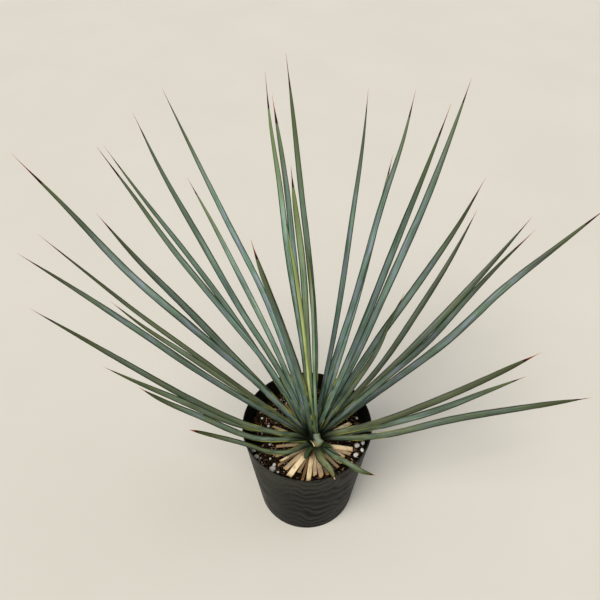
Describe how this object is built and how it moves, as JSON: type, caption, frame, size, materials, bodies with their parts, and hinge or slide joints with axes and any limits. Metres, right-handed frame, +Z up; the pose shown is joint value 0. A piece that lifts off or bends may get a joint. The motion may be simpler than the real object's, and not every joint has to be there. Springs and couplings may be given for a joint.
{
  "type": "potted plant",
  "caption": "Potted blue yucca: stiff narrow blue-green blades fan out from a short stem with cut dry leaf bases, in a black plastic nursery can of bark mix.",
  "frame": {"origin": "the middle of the pot's underside", "axes": "+Z up; -Y is the side that the picture was taken from; +X is to its right"},
  "size_m": [1.093, 0.5973, 1.035],
  "materials": {
    "pot_plastic": "satin black, blow moulded",
    "soil_mix": "damp bark and peat with pumice",
    "dry_leaf_base": "dry, fibrous",
    "leaf_base_green": "waxy",
    "leaf_blue": "waxy bloom",
    "leaf_grey_green": "waxy bloom",
    "leaf_young": "waxy"
  },
  "bodies": {
    "root": {"pot": "pot_plastic", "soil": "soil_mix", "stem": "dry_leaf_base", "crown": "leaf_base_green", "leaf_back_1": "leaf_blue", "leaf_back_2": "leaf_blue", "leaf_back_3": "leaf_blue", "leaf_back_4": "leaf_blue", "leaf_back_5": "leaf_blue", "leaf_back_6": "leaf_blue", "leaf_back_7": "leaf_blue", "leaf_back_8": "leaf_blue", "leaf_front_1": "leaf_grey_green", "leaf_front_2": "leaf_grey_green", "leaf_front_3": "leaf_grey_green", "leaf_front_4": "leaf_grey_green", "leaf_heart_1": "leaf_young", "leaf_heart_2": "leaf_young", "leaf_heart_3": "leaf_young", "leaf_left_1": "leaf_grey_green", "leaf_left_2": "leaf_grey_green", "leaf_left_3": "leaf_grey_green", "leaf_left_4": "leaf_grey_green", "leaf_left_5": "leaf_grey_green", "leaf_left_6": "leaf_grey_green", "leaf_left_7": "leaf_grey_green", "leaf_left_8": "leaf_grey_green", "leaf_right_1": "leaf_grey_green", "leaf_right_2": "leaf_grey_green", "leaf_right_3": "leaf_grey_green", "leaf_right_4": "leaf_grey_green", "leaf_right_5": "leaf_grey_green", "leaf_right_6": "leaf_grey_green", "leaf_right_7": "leaf_grey_green", "leaf_right_8": "leaf_grey_green", "leaf_right_9": "leaf_grey_green", "leaf_tall_1": "leaf_blue", "leaf_tall_2": "leaf_blue", "leaf_tall_3": "leaf_blue", "leaf_tall_4": "leaf_blue", "leaf_tall_5": "leaf_blue", "leaf_tall_6": "leaf_blue"}
  },
  "joints": []
}
